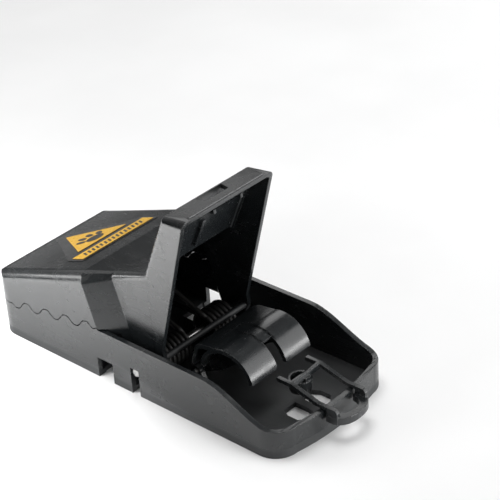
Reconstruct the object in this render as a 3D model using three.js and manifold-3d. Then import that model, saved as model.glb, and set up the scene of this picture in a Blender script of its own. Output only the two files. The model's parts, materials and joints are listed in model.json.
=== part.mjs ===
// Snap mouse trap, shown set (open). Millimetres, +Z up, origin at the centre of its footprint.
// The low front rim and the bait are at -Y, the lever a foot presses is at +Y, and X runs along the axle.
import * as THREE from 'three';
import { mergeVertices } from 'three/addons/utils/BufferGeometryUtils.js';
import Module from 'manifold-3d';

const wasm = await Module();
wasm.setup();

// ---- driving dimensions -------------------------------------------------------------------------
const clearance = 0.3;              // gap kept between pieces that meet

const trayHalfWidth = 30;
const trayBack = 75;                // outer face of the back wall
const trayFront = -64.2;            // outer face of the front wall, where the corners start
const frontBow = 2.3;               // how far the middle of the front wall bows out
const backCorner = 8;
const frontCorner = 9;
const trayWall = 2;
const floorThickness = 2;
const sideRimHeight = 20.7;
const frontRimHeight = 10.8;
const rampStart = -30;              // the side rim starts to drop here
const rampEnd = -61;                // and has reached the front rim's height here

const seamFront = 20;               // the wavy seam between tray and lever starts here
const seamBackStrip = 67;           // behind this the seam follows the back wall instead
const seamWavePeriod = 10.7;
const seamWaveHeight = 1.5;
const backSeamHeight = 14.2;
const backWavePeriod = 9.4;
const backWaveHeight = 1.6;

const axle = { y: 2.6, z: 9.0, radius: 1.6, halfLength: 29.4 };
const axleSlot = { halfWidth: 2, top: 10.8 };
const wallNotch = { from: 13.8, to: 21.4, top: 8.4 };

const coverWall = 1.8;
const coverHalfWidth = 30;          // lever section, flush with the tray
const jawHalfWidth = 23.3;          // jaw section, narrow enough to drop inside the tray
const edgeRadius = 4.4;
const jawEdgeScale = 0.62;          // the jaw's long edges are rounded less than the lever's
const shoulderLean = 0.33;          // the shoulder between them leans back by this much per unit of height
const leverTop = [75, 24.8];        // [y, z] along the upper face, from the back wall to the jaw's tip
const shoulderBack = [26.5, 41.8];
const shoulderFront = [17, 42.1];
const jawFold = [0.7, 47.8];
const jawCrest = [-10.3, 73.5];
const jawTip = [-20.9, 74.9];
const jawFoot = [-5.5, 18.7];       // lower end of the jaw's open edge

const catchBar = { y: -4.1, z: 13.7, radius: 1.2 };

const pedalPivot = { y: -9.6, z: 5.0, radius: 1.0 };
const pedalHump = { y: -28.5, z: 10.9, radius: 12.6, wall: 1.8 };
const pedalHalfWidth = 15.6;
const pedalSlotHalfWidth = 2.4;

const springWire = 1.0;             // wire radius
const springCoil = 5.4;             // radius of the coil's centre line
const springTurns = 5;
const springPitch = 2.35;
const springCentre = 12;            // distance of each coil's middle from the trap's centre line

const holderArm = { inner: 6.9, outer: 8.5 };   // the bait holder's arms, on each side of the middle
const holderLoop = { wallFace: -66.9, reach: -75, halfWidth: 8.8, bottom: 6.8, top: 9.6 };
const holderBar = { front: -51.8, back: -50.4, bottom: 13.2, top: 15.6 };
const baitCup = { y: -48.6, bottom: 7.4, height: 5, radius: 4.4 };

// ---- colours ------------------------------------------------------------------------------------
function finish(color, roughness, metalness) {
  return new THREE.MeshStandardMaterial({ color, roughness, metalness });
}

const blackPlastic = () => finish(0x232527, 0.32, 0);
const steel = () => finish(0xa9abae, 0.28, 1);
const yellowPrint = () => finish(0xf0bd28, 0.4, 0);
const clearFilm = () => finish(0x3b3d40, 0.18, 0);

// ---- solids -------------------------------------------------------------------------------------
function toSolid(geometry) {
  const bare = geometry.index ? geometry.toNonIndexed() : geometry.clone();
  bare.deleteAttribute('normal');
  bare.deleteAttribute('uv');
  const welded = mergeVertices(bare, 1e-4);
  return new wasm.Manifold(new wasm.Mesh({
    numProp: 3,
    vertProperties: new Float32Array(welded.attributes.position.array),
    triVerts: new Uint32Array(welded.index.array),
  }));
}

function toGeometry(solid) {
  const mesh = solid.getMesh();
  const geometry = new THREE.BufferGeometry();
  geometry.setAttribute('position', new THREE.BufferAttribute(new Float32Array(mesh.vertProperties), 3));
  geometry.setIndex(new THREE.BufferAttribute(new Uint32Array(mesh.triVerts), 1));
  geometry.computeVertexNormals();
  return geometry;
}

const join = (...solids) => solids.reduce((whole, piece) => whole.add(piece));
const cut = (solid, ...tools) => tools.reduce((rest, tool) => rest.subtract(tool), solid);

function box(x0, x1, y0, y1, z0, z1) {
  const geometry = new THREE.BoxGeometry(x1 - x0, y1 - y0, z1 - z0);
  geometry.translate((x0 + x1) / 2, (y0 + y1) / 2, (z0 + z1) / 2);
  return toSolid(geometry);
}

function prism(shape, depth, curveSegments) {
  return new THREE.ExtrudeGeometry(shape, { depth, bevelEnabled: false, curveSegments });
}

// A [x, y] outline raised from z0 to z1.
function raised(shape, z0, z1) {
  const geometry = prism(shape, z1 - z0, 10);
  geometry.translate(0, 0, z0);
  return toSolid(geometry);
}

// A [y, z] outline drawn out along X.
function across(shape, x0, x1) {
  const geometry = prism(shape, x1 - x0, 16);
  geometry.translate(0, 0, x0);
  geometry.applyMatrix4(new THREE.Matrix4().makeBasis(
    new THREE.Vector3(0, 1, 0), new THREE.Vector3(0, 0, 1), new THREE.Vector3(1, 0, 0)));
  return toSolid(geometry);
}

function rodAcross(y, z, radius, x0, x1, sides = 28) {
  const geometry = new THREE.CylinderGeometry(radius, radius, x1 - x0, sides);
  geometry.rotateZ(Math.PI / 2);
  geometry.translate((x0 + x1) / 2, y, z);
  return toSolid(geometry);
}

function outline(points) {
  return new THREE.Shape(points.map(([a, b]) => new THREE.Vector2(a, b)));
}

function circle(x, y, radius) {
  const shape = new THREE.Shape();
  shape.absarc(x, y, radius, 0, 2 * Math.PI);
  return shape;
}

function bothSides(solid) {
  return solid.add(solid.mirror([1, 0, 0]));
}

// A [radius, z] profile turned about Z.
function turned(profile, sides) {
  const geometry = new THREE.LatheGeometry(profile.map(([r, z]) => new THREE.Vector2(r, z)), sides);
  geometry.rotateX(Math.PI / 2);
  return toSolid(geometry);
}

// ---- the wavy seam ------------------------------------------------------------------------------
// A wave of height 1 with broad, flattened crests and troughs.
function scallop(turns) {
  const angle = 2 * Math.PI * turns;
  return (Math.cos(angle) - 0.09 * Math.cos(3 * angle)) / 0.91;
}

function sideSeam(y) {
  const middle = backSeamHeight + 0.155 * (seamBackStrip - y);
  const fade = Math.min(1, (y - seamFront) / 3, (seamBackStrip - y) / 3);
  return middle - seamWaveHeight * fade * scallop((y - 63.2) / seamWavePeriod);
}

function backSeam(x) {
  const fade = Math.min(1, (trayHalfWidth - Math.abs(x)) / 5);
  return backSeamHeight + backWaveHeight * fade * scallop(x / backWavePeriod);
}

function wavePoints(from, to, period, height) {
  const count = Math.round((to - from) / (period / 14));
  return Array.from({ length: count + 1 }, (_, i) => {
    const along = from + (to - from) * i / count;
    return [along, height(along)];
  });
}

// ---- tray ---------------------------------------------------------------------------------------
function footprint(inset) {
  const halfWidth = trayHalfWidth - inset;
  const back = trayBack - inset;
  const front = trayFront + inset;
  const rb = backCorner - inset;
  const rf = frontCorner - inset;
  const shape = new THREE.Shape();
  shape.moveTo(halfWidth, back - rb);
  shape.absarc(halfWidth - rb, back - rb, rb, 0, Math.PI / 2);
  shape.lineTo(-halfWidth + rb, back);
  shape.absarc(-halfWidth + rb, back - rb, rb, Math.PI / 2, Math.PI);
  shape.lineTo(-halfWidth, front + rf);
  shape.absarc(-halfWidth + rf, front + rf, rf, Math.PI, 1.5 * Math.PI);
  shape.quadraticCurveTo(0, front - 2 * frontBow, halfWidth - rf, front);
  shape.absarc(halfWidth - rf, front + rf, rf, 1.5 * Math.PI, 2 * Math.PI);
  return shape;
}

function rampHeight(y) {
  const t = (rampStart - y) / (rampStart - rampEnd);
  return sideRimHeight - (sideRimHeight - frontRimHeight) * t * t * (3 - 2 * t);
}

// Everything below the rim and the seam, lifted by `lift`.
function belowRim(lift) {
  const ramp = wavePoints(rampEnd, rampStart, 34, (y) => rampHeight(y) + lift);
  const seam = wavePoints(seamFront, seamBackStrip, seamWavePeriod, (y) => sideSeam(y) + lift);
  const side = outline([
    [-90, -5],
    [-90, frontRimHeight + lift],
    ...ramp,
    [seamFront - 0.4, sideRimHeight + lift],
    ...seam,
    [seamBackStrip, -5],
  ]);
  const endHeight = backSeam(trayHalfWidth) + lift;
  const wave = wavePoints(-trayHalfWidth, trayHalfWidth, backWavePeriod, (x) => backSeam(x) + lift);
  const strip = outline([[-40, -5], [40, -5], [40, endHeight], ...wave.reverse(), [-40, endHeight]]);
  const stripGeometry = prism(strip, 20, 1);
  stripGeometry.rotateX(Math.PI / 2);
  stripGeometry.translate(0, seamBackStrip + 20, 0);
  return join(across(side, -45, 45), toSolid(stripGeometry));
}

function trayShell() {
  const outer = raised(footprint(0), 0, 30).intersect(belowRim(0));
  const hollow = raised(footprint(trayWall), floorThickness, 40);
  return cut(outer, hollow);
}

// Open-bottomed slots that take the axle, the notches beside them, and windows under the springs.
function hingeCuts() {
  const inside = trayHalfWidth - 4;
  const outside = trayHalfWidth + 2;
  const slotBack = axle.y + axleSlot.halfWidth;
  const slot = box(inside, outside, axle.y - axleSlot.halfWidth, slotBack, -1, axleSlot.top);
  const notch = box(inside, outside, wallNotch.from, wallNotch.to, -1, wallNotch.top);
  const floorWindow = box(15, 26.5, 9, 22, -1, floorThickness + 1);
  return bothSides(join(slot, notch, floorWindow));
}

// Windows in the floor on each side under the bait cup, and one small hole under the axle.
function floorHoles() {
  const corners = [[1.6, -47.2], [7.4, -47.2], [9, -50], [9, -54.6], [6, -56.8], [2.4, -56.4], [1.6, -53]];
  const window = outline(corners);
  const drain = circle(0, 4.3, 2.2);
  return join(bothSides(raised(window, -1, floorThickness + 1)), raised(drain, -1, floorThickness + 1));
}

function pedalBrackets() {
  const ear = new THREE.Shape();
  ear.moveTo(pedalPivot.y - 4, 1.5);
  ear.lineTo(pedalPivot.y + 3, 1.5);
  ear.lineTo(pedalPivot.y + 2.4, pedalPivot.z);
  ear.absarc(pedalPivot.y, pedalPivot.z, 2.4, 0, Math.PI);
  const bore = rodAcross(pedalPivot.y, pedalPivot.z, pedalPivot.radius + 0.25, -20, 20);
  return cut(bothSides(across(ear, 9.4, 11.6)), bore);
}

function trayGeometry() {
  return toGeometry(cut(join(trayShell(), pedalBrackets()), hingeCuts(), floorHoles()));
}

// ---- cover: lever and jaw in one moulding -------------------------------------------------------
// A hood-shaped section taken through a row of stations. Each station gives the place of the section's top
// on the upper face, the place where its legs end, its half width, and the scale of its rounded edges.
function hood(stations, radius) {
  const legs = 10;
  const start = stations[0].halfWidth;
  const section = new THREE.Shape();
  section.moveTo(-start, -legs);
  section.lineTo(start, -legs);
  section.lineTo(start, -radius);
  section.absarc(start - radius, -radius, radius, 0, Math.PI / 2);
  section.lineTo(-start + radius, 0);
  section.absarc(-start + radius, -radius, radius, Math.PI / 2, Math.PI);
  const steps = stations.length - 1;
  const settings = { depth: steps, steps, bevelEnabled: false, curveSegments: 7 };
  const geometry = new THREE.ExtrudeGeometry(section, settings);
  const place = geometry.attributes.position;
  for (let i = 0; i < place.count; i += 1) {
    const { top, end, halfWidth, edge = 1 } = stations[Math.round(place.getZ(i))];
    const x = place.getX(i);
    const length = Math.hypot(end[0] - top[0], end[1] - top[1]);
    const depth = place.getY(i) < -legs + 0.01 ? length : -place.getY(i) * edge;
    const share = depth / length;
    place.setXYZ(
      i,
      Math.sign(x) * (halfWidth - (start - Math.abs(x)) * edge),
      top[0] + (end[0] - top[0]) * share,
      top[1] + (end[1] - top[1]) * share,
    );
  }
  return toSolid(geometry);
}

// The upper face's corner points, moved inwards by `inset`.
function upperFace(inset) {
  const beyond = [leverTop[0] + 10, leverTop[1] - 3.5];
  const line = [beyond, leverTop, shoulderBack, shoulderFront, jawFold, jawCrest, jawTip];
  const inward = line.slice(1).map(([y, z], i) => {
    const length = Math.hypot(y - line[i][0], z - line[i][1]);
    return [-(z - line[i][1]) / length, (y - line[i][0]) / length];
  });
  return line.slice(1).map(([y, z], i) => {
    const before = inward[i];
    const after = inward[Math.min(i + 1, inward.length - 1)];
    const share = inset / (1 + before[0] * after[0] + before[1] * after[1]);
    return [y + share * (before[0] + after[0]), z + share * (before[1] + after[1])];
  });
}

function downFrom([y, z], depth = -20) {
  return [y - shoulderLean * (z - depth), depth];
}

function coverOuter() {
  const [, back, front, fold, crest, tip] = upperFace(0);
  const jaw = { halfWidth: jawHalfWidth, edge: jawEdgeScale };
  const rounding = [0, 30, 60, 90].map((degrees) => {
    const angle = degrees * Math.PI / 180;
    return [trayBack - 4 + 4 * Math.cos(angle), leverTop[1] + 1.4 - 4 + 4 * Math.sin(angle)];
  });
  return hood([
    ...rounding.map((top) => ({ top, end: [top[0], -20], halfWidth: coverHalfWidth })),
    { top: back, end: downFrom(back), halfWidth: coverHalfWidth },
    { top: front, end: downFrom(front), ...jaw },
    { top: fold, end: [-10.4, 36.1], ...jaw },
    { top: crest, end: [-18, 63.6], ...jaw },
    { top: tip, end: [-19.6, 70.1], ...jaw },
  ], edgeRadius);
}

function coverHollow() {
  const [lever, back, front, fold, crest, tip] = upperFace(coverWall);
  const jaw = { halfWidth: jawHalfWidth - coverWall, edge: jawEdgeScale };
  const leverHalfWidth = coverHalfWidth - coverWall;
  const insideBack = trayBack - coverWall;
  const slope = (back[1] - lever[1]) / (lever[0] - back[0]);
  const start = [insideBack, lever[1] + (lever[0] - insideBack) * slope - 1];
  return hood([
    { top: start, end: [insideBack, -30], halfWidth: leverHalfWidth },
    { top: back, end: downFrom(back, -30), halfWidth: leverHalfWidth },
    { top: front, end: downFrom(front, -30), ...jaw },
    { top: fold, end: [-17, 32], ...jaw },
    { top: crest, end: [-26, 60], ...jaw },
    { top: [tip[0] - 6, tip[1] + 0.8], end: [-30, 68], ...jaw },
  ], edgeRadius - coverWall);
}

// Side view of all that the cover may fill: behind the jaw's open edge, round the axle, above the seam.
function coverSideView() {
  const shape = new THREE.Shape();
  shape.moveTo(-22.4, 80.4);
  shape.lineTo(...jawFoot);
  shape.lineTo(-6.3, 14.6);
  shape.lineTo(axle.y - 6.2, axle.z);
  shape.absarc(axle.y, axle.z, 6.2, Math.PI, 2 * Math.PI);
  shape.lineTo(12.5, 19.6);
  shape.lineTo(seamFront + 0.6, sideRimHeight + clearance + 0.1);
  shape.lineTo(90, sideRimHeight + clearance + 0.1);
  shape.lineTo(90, 90);
  shape.lineTo(-22.4, 90);
  return shape;
}

function coverShell() {
  const outer = coverOuter().intersect(raised(footprint(0), -40, 90));
  const inner = coverHollow().intersect(raised(footprint(coverWall), -60, 90));
  const behindSeam = box(-45, 45, seamFront + 0.6, 90, 0, 40);
  const allowed = join(across(coverSideView(), -45, 45), behindSeam);
  const wallTops = bothSides(box(trayHalfWidth - trayWall - clearance, 45, 6, 95, -6, 40));
  const overTray = join(box(-45, 45, seamFront + 0.5, 95, -6, 40), wallTops);
  return cut(cut(outer, inner).intersect(allowed), belowRim(clearance).intersect(overTray));
}

// Frame on a flat stretch of the upper face. X runs across, and Y from one corner towards the next. Walked
// from front to back, Z points away from the moulding.
function faceFrame([y0, z0], [y1, z1]) {
  const length = Math.hypot(y1 - y0, z1 - z0);
  const along = new THREE.Vector3(0, (y1 - y0) / length, (z1 - z0) / length);
  const x = new THREE.Vector3(1, 0, 0);
  const out = new THREE.Vector3().crossVectors(x, along);
  return new THREE.Matrix4().makeBasis(x, along, out).setPosition(0, y0, z0);
}

function onFace(frame, shape, from, to) {
  const geometry = prism(shape, to - from, 10);
  geometry.translate(0, 0, from);
  geometry.applyMatrix4(frame);
  return toSolid(geometry);
}

function stadium(halfLength, centre, radius) {
  const shape = new THREE.Shape();
  shape.absarc(halfLength - radius, centre, radius, -Math.PI / 2, Math.PI / 2);
  shape.absarc(-halfLength + radius, centre, radius, Math.PI / 2, 1.5 * Math.PI);
  return shape;
}

function gripRibs() {
  const frame = faceFrame(jawCrest, jawFold);
  return join(...[8.7, 12.7, 16.9].map((centre) => onFace(frame, stadium(18.6, centre, 1.15), -0.6, 0.7)));
}

function tipSlot() {
  const shape = outline([[-5.4, 5.2], [5.4, 5.2], [6.8, 10], [-6.8, 10]]);
  return onFace(faceFrame(jawTip, jawCrest), shape, -6, 3);
}

function strikingLip() {
  return onFace(faceFrame(jawTip, jawCrest), stadium(19, 1.3, 0.45), -0.6, 0.5);
}

function innerRibs() {
  const panel = faceFrame(jawCrest, jawFold);
  const tip = faceFrame(jawTip, jawCrest);
  const stiffener = onFace(panel, outline([[-0.8, 12], [0.8, 12], [0.8, 25], [-0.8, 25]]), -3.2, -1.2);
  const tooth = onFace(tip, outline([[6.2, 0.8], [7.4, 0.8], [7.4, 7.6], [6.2, 7.6]]), -3.6, -1.2);
  return join(stiffener, bothSides(tooth));
}

function hingeBosses() {
  const boss = rodAcross(axle.y, axle.z, 4.6, jawHalfWidth - 1, trayHalfWidth - trayWall - 0.6);
  return bothSides(boss);
}

function coverGeometry() {
  const inner = jawHalfWidth - coverWall + 0.4;
  const bar = rodAcross(catchBar.y, catchBar.z, catchBar.radius, -inner, inner);
  const bore = rodAcross(axle.y, axle.z, axle.radius + 0.25, -40, 40);
  const moulding = join(coverShell(), gripRibs(), strikingLip(), innerRibs(), hingeBosses(), bar);
  return toGeometry(cut(moulding, tipSlot(), bore));
}

// ---- steel parts --------------------------------------------------------------------------------
function axleGeometry() {
  return toGeometry(rodAcross(axle.y, axle.z, axle.radius, -axle.halfLength, axle.halfLength, 32));
}

// A helix round the axle. One leg leaves it along the floor, the other runs up under the lever.
class SpringPath extends THREE.Curve {
  constructor(side) {
    super();
    this.side = side;
  }

  getPoint(t) {
    const lowerLeg = 0.22;
    const upperLeg = 0.78;
    const half = springTurns * springPitch / 2;
    const outerEnd = this.side * (springCentre + half);
    const innerEnd = this.side * (springCentre - half);
    const leanAngle = 22 * Math.PI / 180;
    const turns = springTurns + 0.5 + leanAngle / (2 * Math.PI);
    if (t < lowerLeg) {
      return new THREE.Vector3(outerEnd, axle.y + 34 * (1 - t / lowerLeg), axle.z - springCoil);
    }
    if (t > upperLeg) {
      const reach = 33 * (t - upperLeg) / (1 - upperLeg);
      return new THREE.Vector3(innerEnd,
        axle.y - springCoil * Math.sin(leanAngle) + reach * Math.cos(leanAngle),
        axle.z + springCoil * Math.cos(leanAngle) + reach * Math.sin(leanAngle));
    }
    const part = (t - lowerLeg) / (upperLeg - lowerLeg);
    const angle = -Math.PI / 2 - part * turns * 2 * Math.PI;
    return new THREE.Vector3(outerEnd + (innerEnd - outerEnd) * part,
      axle.y + springCoil * Math.cos(angle), axle.z + springCoil * Math.sin(angle));
  }
}

function springGeometry(side) {
  const wire = new THREE.Shape();
  wire.absarc(0, 0, springWire, 0, 2 * Math.PI);
  return new THREE.ExtrudeGeometry(wire, {
    steps: 150, curveSegments: 5, bevelEnabled: false, extrudePath: new SpringPath(side),
  });
}

function pedalPinGeometry() {
  return toGeometry(rodAcross(pedalPivot.y, pedalPivot.z, pedalPivot.radius, -12.4, 12.4, 24));
}

// ---- pedal --------------------------------------------------------------------------------------
function humpShell(x0, x1, fromDegrees, toDegrees) {
  const shape = new THREE.Shape();
  const from = fromDegrees * Math.PI / 180;
  const to = toDegrees * Math.PI / 180;
  shape.absarc(pedalHump.y, pedalHump.z, pedalHump.radius, from, to);
  shape.absarc(pedalHump.y, pedalHump.z, pedalHump.radius - pedalHump.wall, to, from, true);
  return across(shape, x0, x1);
}

function pedalArm() {
  const arm = new THREE.Shape();
  arm.moveTo(pedalPivot.y, pedalPivot.z - 2.2);
  arm.absarc(pedalPivot.y, pedalPivot.z, 2.2, -Math.PI / 2, Math.PI / 2);
  arm.lineTo(-16.6, 12.4);
  arm.lineTo(-20, 18);
  arm.lineTo(-30, 22.2);
  arm.lineTo(-36, 19);
  arm.lineTo(-30, 16);
  arm.lineTo(-19, 7.2);
  return across(arm, 5.6, 8);
}

// Deck running back from the top of the hump, and an apron down from it in front of the tongue.
function pedalDeck() {
  const above = [[-27.5, 23.3], [-17, 21.8], [-14.4, 20.4], [-11.6, 11.4]];
  const below = [[-13.1, 11.4], [-15.6, 19.3], [-18, 20.2], [-26, 21.4]];
  return across(outline([...above, ...below]), -pedalHalfWidth, pedalHalfWidth);
}

// Rear tongue: its upper edge sits just under the jaw's catch bar while the trap is set.
function searTongue() {
  const top = catchBar.z - catchBar.radius - clearance;
  const front = [[-8.2, top], [-11.6, 9.6]];
  const tongue = outline([[-11.6, 5.6], [-8.8, 6.8], [-7.1, top - 2.2], [-6.6, top], ...front]);
  return across(tongue, -6, 6);
}

function pedalGeometry() {
  const lobe = humpShell(pedalSlotHalfWidth, pedalHalfWidth, 12, 166);
  const bridge = humpShell(-pedalSlotHalfWidth - 0.5, pedalSlotHalfWidth + 0.5, 72, 116);
  const bore = rodAcross(pedalPivot.y, pedalPivot.z, pedalPivot.radius + 0.25, -20, 20);
  const pedal = join(bothSides(join(lobe, pedalArm())), bridge, pedalDeck(), searTongue());
  return toGeometry(cut(pedal, bore));
}

// ---- bait holder --------------------------------------------------------------------------------
// Two arms hook over the front rim. They carry a bait cup inside the tray and a finger loop outside it.
function holderArms() {
  const { wallFace, bottom } = holderLoop;
  const overRim = frontRimHeight + clearance;
  const hook = [[wallFace, bottom], [wallFace, overRim], [-61.6, overRim]];
  const inside = [[-52, 14], [-45.2, 14], [-45.2, holderBar.top], [-51.8, holderBar.top]];
  const outside = [[-63.4, overRim + 1.4], [-70.6, overRim + 1.4], [-71.6, overRim + 0.4], [-71.6, bottom]];
  return bothSides(across(outline([...hook, ...inside, ...outside]), holderArm.inner, holderArm.outer));
}

function fingerLoop() {
  const { wallFace, reach, halfWidth, bottom, top } = holderLoop;
  const loop = new THREE.Shape();
  loop.moveTo(-halfWidth, wallFace);
  loop.lineTo(-halfWidth, -70);
  loop.quadraticCurveTo(-7.4, reach, 0, reach);
  loop.quadraticCurveTo(7.4, reach, halfWidth, -70);
  loop.lineTo(halfWidth, wallFace);
  const eye = new THREE.Shape();
  eye.moveTo(-6, wallFace + 1);
  eye.lineTo(6, wallFace + 1);
  eye.quadraticCurveTo(5.8, -72.4, 0, -72.4);
  eye.quadraticCurveTo(-5.8, -72.4, -6, wallFace + 1);
  return cut(raised(loop, bottom, top), raised(eye, 0, 12));
}

function cupAndBars() {
  const { y, bottom, height, radius } = baitCup;
  const reach = holderArm.inner + 0.4;
  const outside = [[0, 0], [radius - 0.5, 0], [radius, height]];
  const inside = [[radius - 1, height], [radius - 1.3, 1], [0, 1]];
  const cup = turned([...outside, ...inside], 40).translate([0, y, bottom]);
  const crossBar = box(-reach, reach, holderBar.front, holderBar.back, holderBar.bottom, holderBar.top);
  const post = box(-1.6, 1.6, holderBar.front - 0.8, holderBar.back - 0.6, 9, holderBar.bottom + 0.8);
  return join(cup, crossBar, post);
}

function baitHolderGeometry() {
  return toGeometry(join(holderArms(), fingerLoop(), cupAndBars()));
}

// ---- stickers -----------------------------------------------------------------------------------
function stickerGeometry(shape, lift, thickness) {
  return toGeometry(onFace(faceFrame(shoulderBack, leverTop), shape, lift, lift + thickness));
}

function filmShape() {
  return outline([[-19.6, 9.2], [19.6, 9.2], [19.6, 17.4], [1.6, 46], [-1.6, 46], [-19.6, 17.4]]);
}

function stripShape() {
  return outline([[-18.2, 10.2], [18.2, 10.2], [18.2, 16.4], [-18.2, 16.4]]);
}

function triangleShape() {
  return outline([[-12.4, 19.8], [12.4, 19.8], [0, 41.8]]);
}

// ---- assembly -----------------------------------------------------------------------------------
function part(name, geometry, material) {
  const mesh = new THREE.Mesh(geometry, material);
  mesh.name = name;
  return mesh;
}

const trap = new THREE.Group();
trap.name = 'snap_mouse_trap';
trap.add(
  part('base_tray', trayGeometry(), blackPlastic()),
  part('jaw_cover', coverGeometry(), blackPlastic()),
  part('pivot_axle', axleGeometry(), steel()),
  part('torsion_spring_left', springGeometry(-1), steel()),
  part('torsion_spring_right', springGeometry(1), steel()),
  part('trigger_pedal', pedalGeometry(), blackPlastic()),
  part('pedal_pin', pedalPinGeometry(), steel()),
  part('bait_holder', baitHolderGeometry(), blackPlastic()),
  part('label_film', stickerGeometry(filmShape(), 0.1, 0.12), clearFilm()),
  part('label_strip', stickerGeometry(stripShape(), 0.32, 0.12), yellowPrint()),
  part('label_triangle', stickerGeometry(triangleShape(), 0.32, 0.12), yellowPrint()),
);

export default trap;
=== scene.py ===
import json
import math

import bmesh
import bpy
from mathutils import Matrix, Vector


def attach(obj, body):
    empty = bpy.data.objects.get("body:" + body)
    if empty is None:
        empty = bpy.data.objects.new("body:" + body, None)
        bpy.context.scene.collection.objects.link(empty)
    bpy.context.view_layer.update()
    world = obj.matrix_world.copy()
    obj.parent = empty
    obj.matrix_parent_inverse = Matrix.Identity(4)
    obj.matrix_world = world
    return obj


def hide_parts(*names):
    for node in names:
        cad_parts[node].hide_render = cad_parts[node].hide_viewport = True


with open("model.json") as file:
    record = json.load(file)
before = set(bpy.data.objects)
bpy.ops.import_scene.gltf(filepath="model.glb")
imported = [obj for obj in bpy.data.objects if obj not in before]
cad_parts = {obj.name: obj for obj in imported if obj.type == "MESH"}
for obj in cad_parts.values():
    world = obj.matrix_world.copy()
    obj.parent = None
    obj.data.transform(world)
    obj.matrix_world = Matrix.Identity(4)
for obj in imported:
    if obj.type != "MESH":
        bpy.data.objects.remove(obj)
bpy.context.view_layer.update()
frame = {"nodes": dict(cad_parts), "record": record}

# The snap mouse trap dressed for its picture: moulded black plastic with worn gloss, spring steel
# wire, and a printed sticker. Metres, in the CAD frame: +X along the axle, -Y the bait end, +Z up.

MM = 0.001
JOINTS = {joint["name"]: joint for joint in frame["record"]["behaviour"]["joints"]}
AXLE = Vector(JOINTS["jaw_hinge"]["pos_m"])

# The catch bar's centre line crosses the middle of the trap here, in millimetres.
CATCH_BAR = (0, -4.1, 13.7)

# How the CAD pieces' corners are welded and rounded.
WELD_DISTANCE = 0.004 * MM
SHARP_ANGLE = math.radians(28)
ROUNDING_SEGMENTS = 3
SHADING_WEIGHT = 80

# The torsion springs, in millimetres: wire and coil radii, turns, and where each leg ends.
SPRING_WIRE = 1.0
SPRING_COIL = 5.4
SPRING_TURNS = 5
SPRING_PITCH = 2.35
SPRING_CENTRE = 12
COIL_STEPS = 170
FLOOR_LEG_LENGTH = 34
FLOOR_LEG_STEPS = 20
LEVER_LEG_LENGTH = 33
LEVER_LEG_STEPS = 12
LEG_ANGLE = math.radians(22)

# The lever's upper face, from the shoulder back to the end.
LABEL_START = Vector((0, 26.5, 41.8)) * MM
LABEL_END = Vector((0, 75, 24.8)) * MM

# The sticker's print, in millimetres: its heights above that face, the bars and the paw's toes.
PRINT_LOW = 0.4
PRINT_HIGH = 0.47
BAR_COUNT = 15
BAR_PITCH = 2.05
BAR_WIDTH = 0.95
BAR_LEAN = 0.7
BAR_START = 11.7
BAR_END = 14.9
PAW_PAD = (3.9, 2.7)
PAW_TOE = (1.3, 2.0)
PAW_PAD_ALONG = 24.2
TOES = ((-4.7, 27.1, 0.5), (-1.8, 29.6, 0.15), (1.8, 29.6, -0.15), (4.7, 27.1, -0.5))

# The studio and the camera, in metres, with the lens in millimetres.
FLOOR_REACH = 1.6
AIR_LEVEL = 0.12
CAMERA_PLACE = (-0.3564, -0.3603, 0.3500)
CAMERA_FORWARD = (0.627, 0.583, -0.516)
CAMERA_ROLL = math.radians(-3.67)
CAMERA_LENS = 120.8


# ---- small node helpers ------------------------------------------------------------------------


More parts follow.
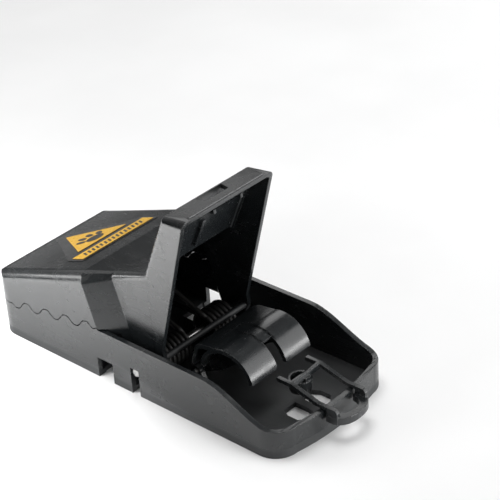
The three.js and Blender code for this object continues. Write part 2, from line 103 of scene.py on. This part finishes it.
class Shader:
    """A node material with a Principled shader, and short ways to add what feeds it."""

    def __init__(self, name):
        self.material = bpy.data.materials.new(name)
        self.material.use_nodes = True
        self.nodes = self.material.node_tree.nodes
        self.links = self.material.node_tree.links
        self.surface = self.nodes["Principled BSDF"]
        position = self.nodes.new("ShaderNodeTexCoord").outputs["Object"]
        self.mm = self.vector("SCALE", position, factor=1 / MM)

    def link(self, value, socket):
        if isinstance(value, bpy.types.NodeSocket):
            self.links.new(value, socket)
        else:
            socket.default_value = value

    def vector(self, operation, first, second=None, factor=None, output=0):
        node = self.nodes.new("ShaderNodeVectorMath")
        node.operation = operation
        self.link(first, node.inputs[0])
        if second is not None:
            self.link(second, node.inputs[1])
        if factor is not None:
            node.inputs["Scale"].default_value = factor
        return node.outputs[output]

    def edges(self):
        """1 on sharp outward edges, where a pale highlight is painted into the colour, and 0 on flat
        faces.
        """
        pointiness = self.nodes.new("ShaderNodeNewGeometry").outputs["Pointiness"]
        return self.between(pointiness, 0.53, 0.60)

    def height(self):
        """Height above the ground in millimetres."""
        node = self.nodes.new("ShaderNodeSeparateXYZ")
        self.link(self.mm, node.inputs[0])
        return node.outputs["Z"]

    def math(self, operation, first, second=0.0, clamp=False):
        node = self.nodes.new("ShaderNodeMath")
        node.operation = operation
        node.use_clamp = clamp
        self.link(first, node.inputs[0])
        self.link(second, node.inputs[1])
        return node.outputs[0]

    def stretched(self, scale, shift=(0, 0, 0)):
        """Millimetre coordinates, scaled along each axis and moved, so each pattern differs."""
        return self.vector("ADD", self.vector("MULTIPLY", self.mm, scale), shift)

    def noise(self, scale, detail=3, roughness=0.5, shift=(0, 0, 0), distortion=0.0):
        node = self.nodes.new("ShaderNodeTexNoise")
        self.link(self.stretched(scale, shift), node.inputs["Vector"])
        node.inputs["Scale"].default_value = 1
        node.inputs["Detail"].default_value = detail
        node.inputs["Roughness"].default_value = roughness
        node.inputs["Distortion"].default_value = distortion
        return node.outputs["Fac"]

    def cells(self, scale, shift=(0, 0, 0)):
        """Distance from the nearest of many scattered points."""
        node = self.nodes.new("ShaderNodeTexVoronoi")
        self.link(self.stretched(scale, shift), node.inputs["Vector"])
        node.inputs["Scale"].default_value = 1
        return node.outputs["Distance"]

    def between(self, value, low, high, out_low=0.0, out_high=1.0):
        """value, remapped smoothly from low..high to out_low..out_high."""
        node = self.nodes.new("ShaderNodeMapRange")
        node.interpolation_type = "SMOOTHSTEP"
        self.link(value, node.inputs["Value"])
        node.inputs["From Min"].default_value = low
        node.inputs["From Max"].default_value = high
        node.inputs["To Min"].default_value = out_low
        node.inputs["To Max"].default_value = out_high
        return node.outputs["Result"]

    def blend(self, share, first, second):
        node = self.nodes.new("ShaderNodeMix")
        node.data_type = "RGBA"
        self.link(share, node.inputs["Factor"])
        self.link(first, node.inputs["A"])
        self.link(second, node.inputs["B"])
        return node.outputs["Result"]

    def bump(self, height, distance, strength=1.0, under=None):
        node = self.nodes.new("ShaderNodeBump")
        self.link(height, node.inputs["Height"])
        node.inputs["Distance"].default_value = distance
        node.inputs["Strength"].default_value = strength
        if under is not None:
            self.link(under, node.inputs["Normal"])
        return node.outputs["Normal"]

    def finish(self, **sockets):
        for name, value in sockets.items():
            self.link(value, self.surface.inputs[name.replace("_", " ")])
        return self.material


def grey(level, warmth=0.0):
    return (level * (1 + warmth), level, level * (1 - warmth), 1)


# ---- materials ---------------------------------------------------------------------------------


def moulded_plastic(name, seed, roughness, flow=(0.5, 0.05, 0.5), matt=None):
    """Black injection-moulded plastic: faint flow lines, fine spark texture, rub marks, dust and
    painted pale highlights on sharp edges.

    matt, when given, adds a roughness mask: a function of the shader that returns 0 to 1.
    """
    shader = Shader(name)
    shift = (seed * 31.7, seed * 12.9, seed * 7.3)
    cloud = shader.noise((0.035, 0.035, 0.035), 4, 0.55, shift)
    streaks = shader.noise(flow, 3, 0.5, shift, 0.4)
    grain = shader.noise((4.5, 4.5, 4.5), 2, 0.6, shift)
    ripple = shader.noise((0.16, 0.16, 0.16), 1, 0.4, shift)
    smudge = shader.between(shader.noise((0.09, 0.09, 0.09), 5, 0.6, shift, 0.8), 0.5, 0.68)
    rubs = shader.noise((0.12, 1.9, 0.9), 4, 0.7, shift, 1.2)
    rubbed = shader.between(rubs, 0.66, 0.78)
    speck = shader.between(shader.cells((0.32, 0.32, 0.32), shift), 0.0, 0.09, 1.0, 0.0)
    rare = shader.between(shader.noise((0.09, 0.09, 0.09), 2, 0.5, (seed, 3, 9)), 0.56, 0.62)
    dust = shader.math("MULTIPLY", speck, rare)

    dark = (0.0075, 0.0088, 0.0097, 1)
    light = (0.0108, 0.0125, 0.0136, 1)
    tone = shader.blend(shader.between(cloud, 0.35, 0.65), dark, light)
    tone = shader.blend(shader.between(streaks, 0.5, 0.75, 0.0, 0.3), tone, (0.019, 0.021, 0.022, 1))
    tone = shader.blend(shader.math("MULTIPLY", smudge, 0.18), tone, (0.030, 0.031, 0.030, 1))
    tone = shader.blend(shader.math("MULTIPLY", dust, 0.25), tone, grey(0.12, 0.03))
    # Painted highlight: sharp edges are lightened in colour to stand in for the bright lines that
    # light draws along them.
    painted_edge_highlight = shader.math("MULTIPLY", shader.edges(), shader.between(cloud, 0.3, 0.6, 0.35, 0.8))
    tone = shader.blend(painted_edge_highlight, tone, grey(0.07, -0.03))
    gloss = shader.math("ADD", shader.between(cloud, 0.3, 0.7, -0.03, 0.04), roughness)
    gloss = shader.math("ADD", gloss, shader.between(streaks, 0.4, 0.8, -0.02, 0.04))
    gloss = shader.math("ADD", gloss, shader.math("MULTIPLY", smudge, 0.07))
    gloss = shader.math("ADD", gloss, shader.math("MULTIPLY", rubbed, 0.04))
    if matt is not None:
        gloss = shader.math("ADD", gloss, shader.math("MULTIPLY", matt(shader), 0.3))
    gloss = shader.math("ADD", gloss, shader.math("MULTIPLY", dust, 0.3), clamp=True)
    normal = shader.bump(ripple, 0.05 * MM, 0.3)
    normal = shader.bump(grain, 0.010 * MM, 0.5, normal)
    normal = shader.bump(rubbed, 0.004 * MM, 0.3, normal)
    return shader.finish(Base_Color=tone, Roughness=gloss, Normal=normal, IOR=1.6)


def low_down(shader):
    """1 on the tray's floor, where the plastic is matt, and 0 above 4 mm."""
    return shader.between(shader.height(), 2.3, 4.0, 1.0, 0.0)


def near_catch_bar(shader):
    """1 within 1.8 mm of the catch bar's centre line, where the plastic is matt, and 0 past 2.6 mm."""
    offset = shader.vector("MULTIPLY", shader.mm, (0, 1, 1))
    distance = shader.vector("DISTANCE", offset, CATCH_BAR, output=1)
    return shader.between(distance, 1.8, 2.6, 1.0, 0.0)


def drawn_steel(name, seed, along, level=0.52, dull=0.0):
    """Drawn steel: fine lines, oil-darkened patches and slight spots.

    along stretches the lines with the wire, and dull adds roughness.
    """
    shader = Shader(name)
    shift = (seed * 17.1, seed * 5.3, seed * 2.9)
    lines = shader.noise(along, 3, 0.6, shift)
    patches = shader.noise((0.35, 0.35, 0.35), 4, 0.6, shift)
    spots = shader.between(shader.noise((1.6, 1.6, 1.6), 3, 0.6, shift), 0.62, 0.74)
    tone = shader.blend(shader.between(lines, 0.35, 0.65), grey(level * 0.8), grey(level, 0.01))
    tone = shader.blend(shader.between(patches, 0.45, 0.7, 0.0, 0.6), tone, grey(level * 0.55, 0.05))
    tone = shader.blend(shader.math("MULTIPLY", spots, 0.5), tone, (0.13, 0.09, 0.06, 1))
    gloss = shader.math("ADD", shader.between(patches, 0.3, 0.7, 0.22, 0.4), dull)
    gloss = shader.math("ADD", gloss, shader.math("MULTIPLY", spots, 0.25), clamp=True)
    normal = shader.bump(lines, 0.01 * MM, 0.6)
    return shader.finish(
        Base_Color=tone, Metallic=1.0, Roughness=gloss, Normal=normal, Specular_IOR_Level=0.5
    )


def printed_vinyl(name, seed, ink, worn_ink):
    """Printed sticker ink: slightly mottled, finely scratched, under a thin gloss."""
    shader = Shader(name)
    shift = (seed * 11.3, seed * 3.1, seed * 9.7)
    mottle = shader.noise((0.5, 0.5, 0.5), 4, 0.6, shift)
    screen = shader.noise((5.0, 5.0, 5.0), 1, 0.5, shift)
    scratch = shader.between(shader.noise((0.25, 4.0, 0.6), 3, 0.7, shift, 1.0), 0.68, 0.74)
    tone = shader.blend(shader.between(mottle, 0.35, 0.7), ink, worn_ink)
    tone = shader.blend(shader.math("MULTIPLY", scratch, 0.22), tone, grey(0.35, 0.1))
    gloss = shader.between(mottle, 0.3, 0.7, 0.26, 0.38)
    gloss = shader.math("ADD", gloss, shader.math("MULTIPLY", scratch, 0.2), clamp=True)
    normal = shader.bump(screen, 0.006 * MM, 0.5)
    return shader.finish(Base_Color=tone, Roughness=gloss, Normal=normal)


def sticker_film(name):
    """Clear film over black plastic: glossier than the plastic, with soft waves and fine dust."""
    shader = Shader(name)
    waves = shader.noise((0.08, 0.08, 0.08), 2, 0.5)
    dust = shader.between(shader.noise((2.4, 2.4, 2.4), 3, 0.6), 0.66, 0.74)
    tone = shader.blend(shader.between(waves, 0.4, 0.6), grey(0.017, -0.04), grey(0.024, -0.03))
    tone = shader.blend(shader.math("MULTIPLY", dust, 0.12), tone, grey(0.2))
    gloss = shader.math("ADD", shader.between(waves, 0.3, 0.7, 0.2, 0.28), dust)
    normal = shader.bump(waves, 0.12 * MM, 0.5)
    clamped = shader.math("MINIMUM", gloss, 0.5)
    return shader.finish(Base_Color=tone, Roughness=clamped, Normal=normal)


def backdrop_material():
    """Plain white sweep, very slightly uneven."""
    shader = Shader("studio_sweep")
    cloud = shader.noise((0.01, 0.01, 0.01), 3, 0.5)
    tone = shader.blend(shader.between(cloud, 0.3, 0.7), grey(0.9), grey(0.94))
    return shader.finish(Base_Color=tone, Roughness=0.9, Specular_IOR_Level=0.1)


# ---- CAD pieces --------------------------------------------------------------------------------


def dress(name, material, edge):
    """Gives a CAD node its material, welds its corners and rounds its edges by edge millimetres."""
    piece = frame["nodes"][name]
    piece.data.materials.clear()
    piece.data.materials.append(material)
    for polygon in piece.data.polygons:
        polygon.use_smooth = True
    weld = piece.modifiers.new("weld", "WELD")
    weld.merge_threshold = WELD_DISTANCE
    rounding = piece.modifiers.new("rounding", "BEVEL")
    rounding.width = edge * MM
    rounding.segments = ROUNDING_SEGMENTS
    rounding.limit_method = "ANGLE"
    rounding.angle_limit = SHARP_ANGLE
    rounding.use_clamp_overlap = False
    shading = piece.modifiers.new("shading", "WEIGHTED_NORMAL")
    shading.mode = "FACE_AREA_WITH_ANGLE"
    shading.weight = SHADING_WEIGHT


# ---- pieces made here --------------------------------------------------------------------------


def mesh_piece(name, build, material, body):
    """A piece that build fills in as a bmesh, riding on one of the trap's bodies."""
    mesh = bpy.data.meshes.new(name)
    shape = bmesh.new()
    build(shape)
    bmesh.ops.recalc_face_normals(shape, faces=shape.faces)
    shape.to_mesh(mesh)
    shape.free()
    mesh.materials.append(material)
    piece = bpy.data.objects.new(name, mesh)
    bpy.context.scene.collection.objects.link(piece)
    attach(piece, body)
    return piece


def tube(shape, points, radius, sides=14):
    """A round wire along points, closed at both ends, added to a bmesh."""
    rings = []
    normal = None
    for i, point in enumerate(points):
        ahead = points[min(i + 1, len(points) - 1)]
        behind = points[max(i - 1, 0)]
        tangent = (ahead - behind).normalized()
        if normal is None:
            normal = tangent.orthogonal().normalized()
        normal = (normal - tangent * normal.dot(tangent)).normalized()
        other = tangent.cross(normal)
        turns = [2 * math.pi * k / sides for k in range(sides)]
        around = [normal * math.cos(t) + other * math.sin(t) for t in turns]
        rings.append([shape.verts.new(point + radius * step) for step in around])
    for near, far in zip(rings, rings[1:]):
        for k in range(sides):
            after = (k + 1) % sides
            face = shape.faces.new((near[k], near[after], far[after], far[k]))
            face.smooth = True
    shape.faces.new(reversed(rings[0]))
    shape.faces.new(rings[-1])


def coil_points(side):
    """The coil round the axle, with one leg along the tray's floor."""
    half = SPRING_TURNS * SPRING_PITCH / 2
    outer = side * (SPRING_CENTRE + half)
    inner = side * (SPRING_CENTRE - half)
    turns = SPRING_TURNS + 0.5 + LEG_ANGLE / (2 * math.pi)
    points = [
        (outer, FLOOR_LEG_LENGTH * (1 - i / FLOOR_LEG_STEPS), -SPRING_COIL)
        for i in range(FLOOR_LEG_STEPS + 1)
    ]
    for i in range(1, COIL_STEPS + 1):
        angle = -math.pi / 2 - i / COIL_STEPS * turns * 2 * math.pi
        x = outer + (inner - outer) * i / COIL_STEPS
        points.append((x, SPRING_COIL * math.cos(angle), SPRING_COIL * math.sin(angle)))
    return [AXLE + Vector(p) * MM for p in points]


def leg_points(side):
    """The straight leg that leaves the coil's inner end and runs up under the lever."""
    inner = side * (SPRING_CENTRE - SPRING_TURNS * SPRING_PITCH / 2)
    start = Vector((inner, -SPRING_COIL * math.sin(LEG_ANGLE), SPRING_COIL * math.cos(LEG_ANGLE)))
    run = Vector((0, math.cos(LEG_ANGLE), math.sin(LEG_ANGLE)))
    step = LEVER_LEG_LENGTH / LEVER_LEG_STEPS
    return [AXLE + (start + run * step * i) * MM for i in range(LEVER_LEG_STEPS + 1)]


def make_spring(name, side, material):
    """Coil on the tray and upper leg on the cover, so the leg turns with the lever about the axle."""
    def coil(shape):
        tube(shape, coil_points(side), SPRING_WIRE * MM)

    def leg(shape):
        tube(shape, leg_points(side), SPRING_WIRE * MM)

    coil_piece = mesh_piece(name + "_coil", coil, material, "tray")
    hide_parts(name)
    mesh_piece(name + "_leg", leg, material, "cover")


# ---- sticker -----------------------------------------------------------------------------------


def on_label(x, along, lift):
    """A point on the lever's upper face: across, back from the shoulder, and above it, in mm."""
    run = (LABEL_END - LABEL_START).normalized()
    out = Vector((1, 0, 0)).cross(run)
    return LABEL_START + run * along * MM + out * lift * MM + Vector((x * MM, 0, 0))


def slab(shape, outline, low, high):
    """A flat plate on the label from an outline of (across, along) points in mm."""
    bottom = [shape.verts.new(on_label(x, s, low)) for x, s in outline]
    top = [shape.verts.new(on_label(x, s, high)) for x, s in outline]
    shape.faces.new(top)
    shape.faces.new(reversed(bottom))
    for i in range(len(outline)):
        j = (i + 1) % len(outline)
        shape.faces.new((bottom[i], bottom[j], top[j], top[i]))


def oval(centre, radii, turn=0.0, count=28):
    """The outline of an oval, turned about its centre by turn radians."""
    points = []
    for i in range(count):
        angle = 2 * math.pi * i / count
        x = radii[0] * math.cos(angle)
        y = radii[1] * math.sin(angle)
        across = centre[0] + x * math.cos(turn) - y * math.sin(turn)
        along = centre[1] + x * math.sin(turn) + y * math.cos(turn)
        points.append((across, along))
    return points


def strip_marks(shape):
    """A plain row of slanted bars, standing for the strip's print."""
    for i in range(BAR_COUNT):
        x = (i - (BAR_COUNT - 1) / 2) * BAR_PITCH
        bar = [
            (x - BAR_WIDTH / 2 - BAR_LEAN, BAR_START),
            (x + BAR_WIDTH / 2 - BAR_LEAN, BAR_START),
            (x + BAR_WIDTH / 2 + BAR_LEAN, BAR_END),
            (x - BAR_WIDTH / 2 + BAR_LEAN, BAR_END),
        ]
        slab(shape, bar, PRINT_LOW, PRINT_HIGH)


def paw_mark(shape):
    """A generic paw print in the middle of the triangle."""
    slab(shape, oval((0, PAW_PAD_ALONG), PAW_PAD), PRINT_LOW, PRINT_HIGH)
    for x, along, turn in TOES:
        slab(shape, oval((x, along), PAW_TOE, turn), PRINT_LOW, PRINT_HIGH)


# ---- build -------------------------------------------------------------------------------------

tray_plastic = moulded_plastic("tray_black_abs", 1, 0.27, matt=low_down)
cover_plastic = moulded_plastic("cover_black_abs", 2, 0.24, matt=near_catch_bar)
pedal_plastic = moulded_plastic("pedal_black_abs", 3, 0.24, (0.08, 0.5, 0.5))
holder_plastic = moulded_plastic("holder_black_abs", 4, 0.27, (0.5, 0.5, 0.06))
axle_steel = drawn_steel("axle_steel", 1, (0.05, 6, 6))
spring_steel = drawn_steel("spring_steel", 2, (6, 0.4, 0.4), level=0.055, dull=0.2)
yellow = printed_vinyl("yellow_print", 1, (0.80, 0.46, 0.022, 1), (0.70, 0.37, 0.02, 1))
black_ink = printed_vinyl("black_print", 2, grey(0.012), grey(0.02))

dress("base_tray", tray_plastic, 0.12)
dress("jaw_cover", cover_plastic, 0.22)
dress("trigger_pedal", pedal_plastic, 0.1)
dress("bait_holder", holder_plastic, 0.2)
dress("pivot_axle", axle_steel, 0.3)
dress("pedal_pin", axle_steel, 0.2)
dress("label_film", sticker_film("label_film_gloss"), 0.03)
dress("label_strip", yellow, 0.02)
dress("label_triangle", yellow, 0.02)
make_spring("torsion_spring_left", -1, spring_steel)
make_spring("torsion_spring_right", 1, spring_steel)
mesh_piece("strip_print", strip_marks, black_ink, "cover")
mesh_piece("triangle_print", paw_mark, black_ink, "cover")


# ---- studio ------------------------------------------------------------------------------------


def make_floor():
    """A plain flat floor, part of the studio and not of the trap."""
    reach = FLOOR_REACH
    corners = [(-reach, -reach, 0), (reach, -reach, 0), (reach, reach, 0), (-reach, reach, 0)]
    mesh = bpy.data.meshes.new("studio_floor")
    mesh.from_pydata(corners, [], [(0, 1, 2, 3)])
    mesh.materials.append(backdrop_material())
    floor = bpy.data.objects.new("studio_floor", mesh)
    bpy.context.scene.collection.objects.link(floor)


def soft_light(name, place, target, size, watts):
    """A rectangular lamp that shines from place towards target."""
    data = bpy.data.lights.new(name, "AREA")
    data.shape = "RECTANGLE"
    data.size, data.size_y = size
    data.energy = watts
    lamp = bpy.data.objects.new(name, data)
    lamp.location = place
    lamp.rotation_mode = "QUATERNION"
    lamp.rotation_quaternion = (Vector(target) - Vector(place)).to_track_quat("-Z", "Y")
    bpy.context.scene.collection.objects.link(lamp)


def make_world(level):
    world = bpy.data.worlds.new("studio_air")
    bpy.context.scene.world = world
    world.use_nodes = True
    background = world.node_tree.nodes["Background"]
    background.inputs["Color"].default_value = (1, 1, 1, 1)
    background.inputs["Strength"].default_value = level


def make_camera():
    """Looks down on the trap's front left corner, slightly rolled, with a long lens."""
    forward = Vector(CAMERA_FORWARD).normalized()
    side = forward.cross(Vector((0, 0, 1))).normalized()
    upward = side.cross(forward)
    right = side * math.cos(CAMERA_ROLL) + upward * math.sin(CAMERA_ROLL)
    top = upward * math.cos(CAMERA_ROLL) - side * math.sin(CAMERA_ROLL)
    data = bpy.data.cameras.new("photo_camera")
    data.sensor_width = 36
    data.lens = CAMERA_LENS
    data.clip_start = 0.05
    data.clip_end = 20
    camera = bpy.data.objects.new("photo_camera", data)
    turn = Matrix((right, top, -forward)).transposed()
    camera.matrix_world = Matrix.Translation(CAMERA_PLACE) @ turn.to_4x4()
    bpy.context.scene.collection.objects.link(camera)
    bpy.context.scene.camera = camera


make_floor()
make_world(AIR_LEVEL)
soft_light("overhead", (0.05, 0.1, 0.75), (0, 0, 0), (0.4, 0.4), 2.4)
soft_light("left_floor", (-0.14, 0.13, 0.07), (-0.14, 0.13, 0), (0.16, 0.2), 0.75)
soft_light("right", (0.9, 0, 0.45), (0, 0, 0), (0.5, 0.5), 2.6)
soft_light("back_right", (0.75, 0.7, 0.7), (0, 0, 0), (0.5, 0.5), 1.5)
soft_light("back", (0.1, 0.95, 0.55), (0, 0, 0), (0.7, 0.4), 0.7)
soft_light("front_right", (0.5, -0.8, 0.55), (0, 0, 0), (0.9, 0.7), 4.4)
soft_light("front_right_low", (0.6, -0.75, 0.1), (0, 0, 0.02), (0.6, 0.18), 3.2)
soft_light("front_low", (0.1, -0.9, 0.12), (0, 0, 0.02), (0.6, 0.18), 6.8)
make_camera()
bpy.context.scene.view_settings.view_transform = "Standard"
